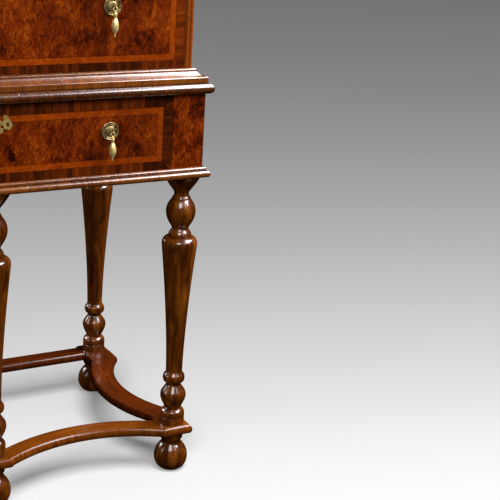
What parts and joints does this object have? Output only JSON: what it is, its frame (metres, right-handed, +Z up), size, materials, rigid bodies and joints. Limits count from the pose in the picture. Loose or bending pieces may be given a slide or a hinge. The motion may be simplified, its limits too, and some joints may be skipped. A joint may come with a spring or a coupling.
{
  "type": "chest of drawers",
  "caption": "Tall walnut chest of drawers on a turned-leg stand with shaped stretchers, bun feet, double-bead mouldings and swinging brass pear-drop handles.",
  "frame": {"origin": "centre of the footprint on the floor", "axes": "+Z up, drawers open towards -Y, +X to the right for someone who stands in front of the drawers"},
  "size_m": [0.702, 0.412, 1.347],
  "materials": {
    "burr_walnut": "French-polished burr and straight walnut veneer",
    "walnut_crossgrain": "polished cross-grained walnut mouldings",
    "turned_walnut": "polished dark turned walnut",
    "oak_lining": "dry unpolished oak and pine",
    "brass": "worn cast brass, dark in the hollows"
  },
  "bodies": {
    "case": {"stand_base": "walnut_crossgrain", "waist_moulding": "walnut_crossgrain", "chest_top": "walnut_crossgrain", "chest_beads": "walnut_crossgrain", "cornice": "walnut_crossgrain", "stand_side_left": "burr_walnut", "stand_side_right": "burr_walnut", "stand_stiles": "burr_walnut", "chest_side_left": "burr_walnut", "chest_side_right": "burr_walnut", "stand_back": "oak_lining", "stand_top": "oak_lining", "chest_bottom": "oak_lining", "chest_back": "oak_lining", "chest_boards": "oak_lining", "leg_front_left": "turned_walnut", "leg_front_centre": "turned_walnut", "leg_front_right": "turned_walnut", "leg_back_left": "turned_walnut", "leg_back_right": "turned_walnut", "foot_front_left": "turned_walnut", "foot_front_centre": "turned_walnut", "foot_front_right": "turned_walnut", "foot_back_left": "turned_walnut", "foot_back_right": "turned_walnut", "front_stretcher_left": "burr_walnut", "front_stretcher_right": "burr_walnut", "side_stretcher_left": "burr_walnut", "side_stretcher_right": "burr_walnut", "back_stretcher": "burr_walnut"},
    "stand_drawer": {"stand_drawer_front": "burr_walnut", "stand_drawer_box": "oak_lining", "stand_drawer_fittings": "brass"},
    "stand_drawer_drop_left": {"stand_drawer_drop_left": "brass"},
    "stand_drawer_drop_right": {"stand_drawer_drop_right": "brass"},
    "bottom_drawer": {"bottom_drawer_front": "burr_walnut", "bottom_drawer_box": "oak_lining", "bottom_drawer_fittings": "brass"},
    "bottom_drawer_drop_left": {"bottom_drawer_drop_left": "brass"},
    "bottom_drawer_drop_right": {"bottom_drawer_drop_right": "brass"},
    "middle_drawer": {"middle_drawer_front": "burr_walnut", "middle_drawer_box": "oak_lining", "middle_drawer_fittings": "brass"},
    "middle_drawer_drop_left": {"middle_drawer_drop_left": "brass"},
    "middle_drawer_drop_right": {"middle_drawer_drop_right": "brass"},
    "upper_drawer": {"upper_drawer_front": "burr_walnut", "upper_drawer_box": "oak_lining", "upper_drawer_fittings": "brass"},
    "upper_drawer_drop_left": {"upper_drawer_drop_left": "brass"},
    "upper_drawer_drop_right": {"upper_drawer_drop_right": "brass"},
    "top_left_drawer": {"top_left_drawer_front": "burr_walnut", "top_left_drawer_box": "oak_lining", "top_left_drawer_fittings": "brass"},
    "top_left_drawer_drop_left": {"top_left_drawer_drop_left": "brass"},
    "top_left_drawer_drop_right": {"top_left_drawer_drop_right": "brass"},
    "top_right_drawer": {"top_right_drawer_front": "burr_walnut", "top_right_drawer_box": "oak_lining", "top_right_drawer_fittings": "brass"},
    "top_right_drawer_drop_left": {"top_right_drawer_drop_left": "brass"},
    "top_right_drawer_drop_right": {"top_right_drawer_drop_right": "brass"}
  },
  "joints": [
    {"name": "stand_drawer_slide", "type": "slide", "parent": "case", "child": "stand_drawer", "axis": [0, -1, 0], "range_m": [0, 0.21]},
    {"name": "stand_drawer_drop_left_swing", "type": "hinge", "parent": "stand_drawer", "child": "stand_drawer_drop_left", "pos_m": [-0.179, -0.2005, 0.60483], "axis": [-1, 0, 0], "range_deg": [-5, 95]},
    {"name": "stand_drawer_drop_right_swing", "type": "hinge", "parent": "stand_drawer", "child": "stand_drawer_drop_right", "pos_m": [0.179, -0.2005, 0.60483], "axis": [-1, 0, 0], "range_deg": [-5, 95]},
    {"name": "bottom_drawer_slide", "type": "slide", "parent": "case", "child": "bottom_drawer", "axis": [0, -1, 0], "range_m": [0, 0.21]},
    {"name": "bottom_drawer_drop_left_swing", "type": "hinge", "parent": "bottom_drawer", "child": "bottom_drawer_drop_left", "pos_m": [-0.186, -0.1825, 0.78984], "axis": [-1, 0, 0], "range_deg": [-5, 95]},
    {"name": "bottom_drawer_drop_right_swing", "type": "hinge", "parent": "bottom_drawer", "child": "bottom_drawer_drop_right", "pos_m": [0.186, -0.1825, 0.78984], "axis": [-1, 0, 0], "range_deg": [-5, 95]},
    {"name": "middle_drawer_slide", "type": "slide", "parent": "case", "child": "middle_drawer", "axis": [0, -1, 0], "range_m": [0, 0.21]},
    {"name": "middle_drawer_drop_left_swing", "type": "hinge", "parent": "middle_drawer", "child": "middle_drawer_drop_left", "pos_m": [-0.186, -0.1825, 0.95938], "axis": [-1, 0, 0], "range_deg": [-5, 95]},
    {"name": "middle_drawer_drop_right_swing", "type": "hinge", "parent": "middle_drawer", "child": "middle_drawer_drop_right", "pos_m": [0.186, -0.1825, 0.95938], "axis": [-1, 0, 0], "range_deg": [-5, 95]},
    {"name": "upper_drawer_slide", "type": "slide", "parent": "case", "child": "upper_drawer", "axis": [0, -1, 0], "range_m": [0, 0.21]},
    {"name": "upper_drawer_drop_left_swing", "type": "hinge", "parent": "upper_drawer", "child": "upper_drawer_drop_left", "pos_m": [-0.186, -0.1825, 1.11064], "axis": [-1, 0, 0], "range_deg": [-5, 95]},
    {"name": "upper_drawer_drop_right_swing", "type": "hinge", "parent": "upper_drawer", "child": "upper_drawer_drop_right", "pos_m": [0.186, -0.1825, 1.11064], "axis": [-1, 0, 0], "range_deg": [-5, 95]},
    {"name": "top_left_drawer_slide", "type": "slide", "parent": "case", "child": "top_left_drawer", "axis": [0, -1, 0], "range_m": [0, 0.21]},
    {"name": "top_left_drawer_drop_left_swing", "type": "hinge", "parent": "top_left_drawer", "child": "top_left_drawer_drop_left", "pos_m": [-0.2275, -0.1825, 1.24088], "axis": [-1, 0, 0], "range_deg": [-5, 95]},
    {"name": "top_left_drawer_drop_right_swing", "type": "hinge", "parent": "top_left_drawer", "child": "top_left_drawer_drop_right", "pos_m": [-0.0875, -0.1825, 1.24088], "axis": [-1, 0, 0], "range_deg": [-5, 95]},
    {"name": "top_right_drawer_slide", "type": "slide", "parent": "case", "child": "top_right_drawer", "axis": [0, -1, 0], "range_m": [0, 0.21]},
    {"name": "top_right_drawer_drop_left_swing", "type": "hinge", "parent": "top_right_drawer", "child": "top_right_drawer_drop_left", "pos_m": [0.0875, -0.1825, 1.24088], "axis": [-1, 0, 0], "range_deg": [-5, 95]},
    {"name": "top_right_drawer_drop_right_swing", "type": "hinge", "parent": "top_right_drawer", "child": "top_right_drawer_drop_right", "pos_m": [0.2275, -0.1825, 1.24088], "axis": [-1, 0, 0], "range_deg": [-5, 95]}
  ]
}
